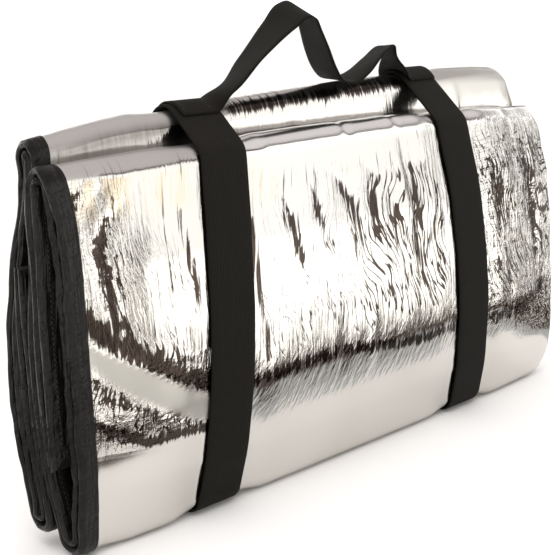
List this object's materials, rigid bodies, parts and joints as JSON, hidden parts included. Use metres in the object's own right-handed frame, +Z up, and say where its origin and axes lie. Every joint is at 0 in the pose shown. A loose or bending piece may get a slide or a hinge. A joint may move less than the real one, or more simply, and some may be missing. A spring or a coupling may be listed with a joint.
{
  "type": "emergency foil blanket",
  "caption": "Folded padded foil rescue blanket with taped edges, strapped into an upright bundle and carried by a webbing handle.",
  "frame": {"origin": "centre of the bounding box on the surface that the bundle stands on", "axes": "+X along the bundle, from the taped edges to the fold of the doubled sheet; +Y through its layers, away from the front; +Z up"},
  "size_m": [0.5226, 0.0912, 0.3464],
  "materials": {
    "foil_padding": "crinkled mirror foil on one face, black lining on the other",
    "edge_tape": "black satin tape",
    "webbing": "matt black woven webbing"
  },
  "bodies": {
    "root": {"blanket": "foil_padding", "binding": "edge_tape", "strap_left": "webbing", "strap_right": "webbing", "handle": "webbing"}
  },
  "joints": []
}
